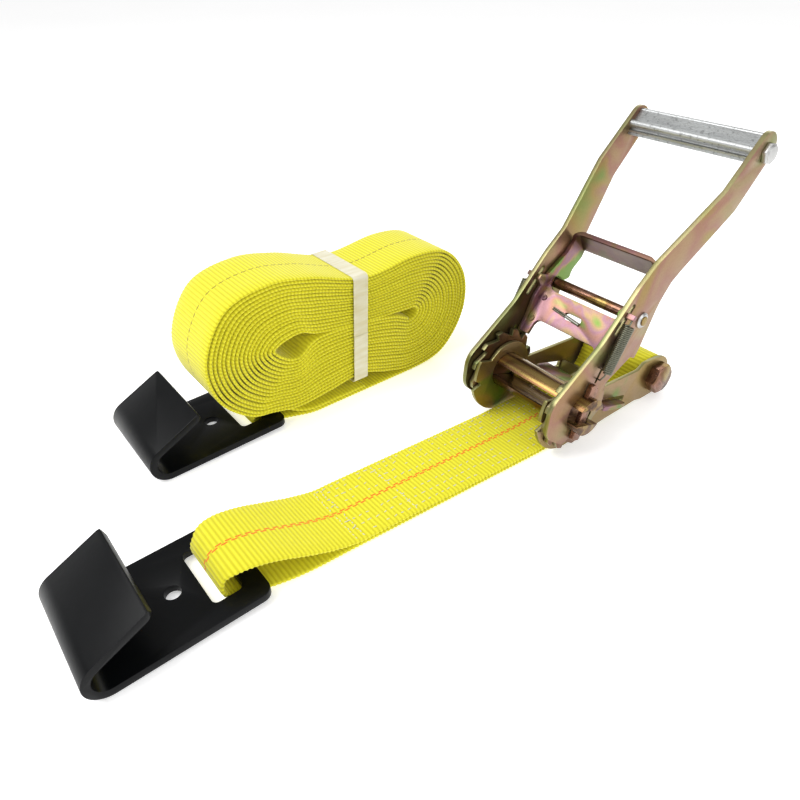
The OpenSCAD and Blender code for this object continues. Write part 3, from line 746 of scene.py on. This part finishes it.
def coil_path():
    """The long strap from its tail at the right lobe's foot, turn by turn inward."""
    draw = random.Random(3)
    outer = smooth_line(OUTER, closed=True)
    inner = smooth_line(INNER, closed=True)
    n = len(outer)
    waves = [[(draw.uniform(0.3, 1.0), draw.uniform(0, 2 * math.pi), k) for k in (1, 2, 3, 5)]
             for _ in range(TURNS + 2)]

    def wobble(turn, share):
        """A smooth wave round each turn, blended into the next one."""
        def value(t):
            return sum(a * math.sin(2 * math.pi * k * share + phase) / (k + 1)
                       for a, phase, k in waves[t])
        t = int(turn)
        return value(t) * (1 - (turn - t)) + value(t + 1) * (turn - t)

    rows = []
    for i in range(TURNS * n + 1):
        turn = i / n
        j = i % n
        share = turn / TURNS
        gap = np.linalg.norm(outer[j] - inner[j]) / TURNS
        thick = min(2.1, 0.82 * gap)
        inward = (inner[j] - outer[j]) / np.linalg.norm(inner[j] - outer[j])
        slack = 0.5 * (gap - thick) * wobble(turn, j / n)
        depth = thick / 2 + 0.02 + abs(slack)
        place = outer[j] + (inner[j] - outer[j]) * share + inward * depth
        edge = 0.8 * wobble(turn + 0.37, (j / n + 0.3) % 1) if turn > 0.2 else 0.0
        rows.append((place[0], place[1], COIL_Y + edge, COIL_WIDE - 0.4, thick))
    return np.array(rows)


coil = coil_path()
coil_obj = link_object("long_strap_wound", webbing_mesh("long_strap_wound", coil, selvedge=0.14),
                       strap_long, "long_strap", ("long_strap_coil",))

DRIFT_FROM = -104.0                  # where the long strap's end starts to drift to its hook
DRIFT_RUN = 20.0


def tail_path():
    """The long strap's doubled end: out of the coil, through its hook and back under itself."""
    x0, y0 = hook_slot("long_hook")
    rows = [(-63, UPPER_PLY, WIDE), (-84, UPPER_PLY, WIDE)]
    rows += [(x0 + dx, z, w) for dx, z, w in [
        (52, UPPER_PLY, WIDE), (46, UPPER_PLY + 0.2, WIDE), (40, 4.3, 48), (33, 6.4, 43),
        (27.5, 8.3, 41), (21, 8.7, 39), (14, 8.6, SLOT_WIDE), (9.4, 7.2, SLOT_WIDE),
        (8.6, 4.4, SLOT_WIDE), (12.5, FLOOR_PLY + 0.1, SLOT_WIDE), (20, FLOOR_PLY, 39),
        (32, FLOOR_PLY, 46), (48, FLOOR_PLY, WIDE)]]
    rows += [(x, FLOOR_PLY, WIDE) for x in (-90, -70, -54, -40, -20.2)]

    def sideways(x):
        return COIL_Y + (y0 - COIL_Y) * min(1.0, max(0.0, (DRIFT_FROM - x) / DRIFT_RUN))

    line = smooth_line([(x, z, sideways(x), w, PLY) for x, z, w in rows], steps=8)
    line[:, 1] = np.maximum(line[:, 1], FLOOR_PLY)
    return line


tail = tail_path()
tail_obj = link_object("long_strap_end", webbing_mesh("long_strap_end", tail), strap_long,
                       "long_strap", ("long_strap_tail",))


BAND_THICK = 0.28
BAND_GAP = 0.9                       # between the wound strap's sides and the band


def band_mesh(name, points, half_width, x_of):
    """A thin strip round the wound strap's waist: points are y, z in millimetres."""
    bm = bmesh.new()
    rings = []
    n = len(points)
    for i, (y, z) in enumerate(points):
        y0, z0 = points[max(i - 1, 0)]
        y1, z1 = points[min(i + 1, n - 1)]
        d = Vector((y1 - y0, z1 - z0)).normalized()
        out = Vector((d.y, -d.x)) * BAND_THICK
        left, right = x_of(z) - half_width, x_of(z) + half_width
        rings.append([bm.verts.new(at(left, y, z)), bm.verts.new(at(right, y, z)),
                      bm.verts.new(at(right, y + out.x, z + out.y)),
                      bm.verts.new(at(left, y + out.x, z + out.y))])
    for a, b in zip(rings, rings[1:]):
        for k in range(4):
            bm.faces.new((a[k], b[k], b[(k + 1) % 4], a[(k + 1) % 4]))
    bm.faces.new(rings[0])
    bm.faces.new(list(reversed(rings[-1])))
    bmesh.ops.recalc_face_normals(bm, faces=bm.faces)
    mesh = bpy.data.meshes.new(name)
    bm.to_mesh(mesh)
    bm.free()
    return mesh


def waist_band():
    """The band, and its free end lapped over the front."""
    y0 = COIL_Y - COIL_WIDE / 2 - BAND_GAP
    y1 = COIL_Y + COIL_WIDE / 2 + BAND_GAP
    z0, z1 = 11.6, 89.2
    r = 2.5                          # of its corners
    lapped = 0.3                     # how far the free end stands off the band under it

    def x_of(z):
        return -67.0 + 4.5 * (z - z0) / (z1 - z0)

    corners = [(y0, z0, 180, 270), (y1, z0, 270, 360), (y1, z1, 0, 90), (y0, z1, 90, 180)]
    loop = []
    for cy, cz, a0, a1 in corners:
        my = cy + (r if cy == y0 else -r)
        mz = cz + (r if cz == z0 else -r)
        for k in range(7):
            a = math.radians(a0 + (a1 - a0) * k / 6)
            loop.append((my + r * math.cos(a), mz + r * math.sin(a)))
    front = [(y0, z) for z in np.linspace(z1 - r, z0 + r, 12)[1:-1]]
    closed = loop + front + [loop[0]]
    link_object("waist_band", band_mesh("waist_band", closed, 5.6, x_of), band_film,
                "long_strap", ("coil_band",))
    lap = [(y0 - lapped, z) for z in np.linspace(47, z0 + r, 10)]
    lap += [(y - lapped if y < COIL_Y else y, z - lapped) for y, z in loop[:12]]
    link_object("waist_band_lap", band_mesh("waist_band_lap", lap, 5.5, x_of), band_film,
                "long_strap")


waist_band()


# ---------- stage ----------

def floor_material():
    s = Shader("floor_white", Roughness=0.9, Specular_IOR_Level=0.1)
    s.colour(s.ramp(s.noise(3.0), [(0.3, (0.93, 0.93, 0.93)), (0.7, (0.95, 0.95, 0.95))]))
    s.base.inputs["Emission Color"].default_value = (1, 1, 1, 1)
    s.base.inputs["Emission Strength"].default_value = 0.45
    return s.material


FLOOR_HALF = 6.0
FLOOR_BELOW = 0.0003                 # keeps the floor off the webbing's underside

floor_mesh = bpy.data.meshes.new("floor")
corners = [(x * FLOOR_HALF, y * FLOOR_HALF, 0) for x, y in ((-1, -1), (1, -1), (1, 1), (-1, 1))]
floor_mesh.from_pydata(corners, [], [(0, 1, 2, 3)])
floor = link_object("floor", floor_mesh, floor_material())
floor.location.z = -FLOOR_BELOW


def area_light(name, place, target, size, power):
    data = bpy.data.lights.new(name, "AREA")
    data.shape = "RECTANGLE"
    data.size, data.size_y = size
    data.energy = power
    obj = bpy.data.objects.new(name, data)
    bpy.context.scene.collection.objects.link(obj)
    obj.location = place
    obj.rotation_euler = (Vector(target) - Vector(place)).to_track_quat("-Z", "Y").to_euler()


area_light("key", (-0.7, 0.35, 1.15), (0, 0, 0.05), (0.9, 0.9), 14.0)
area_light("side", (0.15, -1.2, 0.75), (0.05, 0, 0.05), (1.1, 0.6), 5.0)
area_light("back", (1.1, 0.7, 0.8), (0, 0, 0.05), (1.2, 0.7), 5.0)

world = bpy.data.worlds.new("studio")
world.use_nodes = True
sky = world.node_tree
backdrop = sky.nodes["Background"]

# the sky's brightness by height, for what the metal reflects: straight down 0, level 0.5, up 1
where = sky.nodes.new("ShaderNodeTexCoord")
split = sky.nodes.new("ShaderNodeSeparateXYZ")
sky.links.new(where.outputs["Generated"], split.inputs[0])
height = sky.nodes.new("ShaderNodeValToRGB")
sky_grades = [(0.5, 1.0), (0.60, 0.95), (0.70, 0.22), (0.82, 0.26), (0.95, 0.85)]
while len(height.color_ramp.elements) < len(sky_grades):
    height.color_ramp.elements.new(0.5)
for element, (place, grey) in zip(height.color_ramp.elements, sky_grades):
    element.position = place
    element.color = (grey, grey, grey, 1)
shift_up = sky.nodes.new("ShaderNodeMath")
shift_up.operation = "MULTIPLY_ADD"
shift_up.inputs[1].default_value = 0.5
shift_up.inputs[2].default_value = 0.5
sky.links.new(split.outputs[2], shift_up.inputs[0])
sky.links.new(shift_up.outputs[0], height.inputs[0])
sky.links.new(height.outputs[0], backdrop.inputs["Color"])
backdrop.inputs["Strength"].default_value = 0.95
bpy.context.scene.world = world
bpy.context.scene.view_settings.view_transform = "Standard"


# ---------- camera ----------

def photo_camera():
    data = bpy.data.cameras.new("camera")
    data.sensor_width = 36.0
    data.lens = 30.896
    data.shift_x = -0.00835
    data.shift_y = -0.01621
    data.clip_start = 0.01
    obj = bpy.data.objects.new("camera", data)
    bpy.context.scene.collection.objects.link(obj)
    yaw, pitch, roll = (math.radians(a) for a in (51.91, 34.49, -0.77))
    forward = Vector((math.cos(pitch) * math.cos(yaw), math.cos(pitch) * math.sin(yaw), -math.sin(pitch)))
    right = Vector((math.sin(yaw), -math.cos(yaw), 0))
    up = right.cross(forward)
    right, up = (right * math.cos(roll) + up * math.sin(roll),
                 up * math.cos(roll) - right * math.sin(roll))
    place = at(-288.43, -234.29, 279.22)
    turned = Matrix((right, up, -forward)).transposed().to_4x4()
    obj.matrix_world = Matrix.Translation(place) @ turned
    bpy.context.scene.camera = obj


photo_camera()
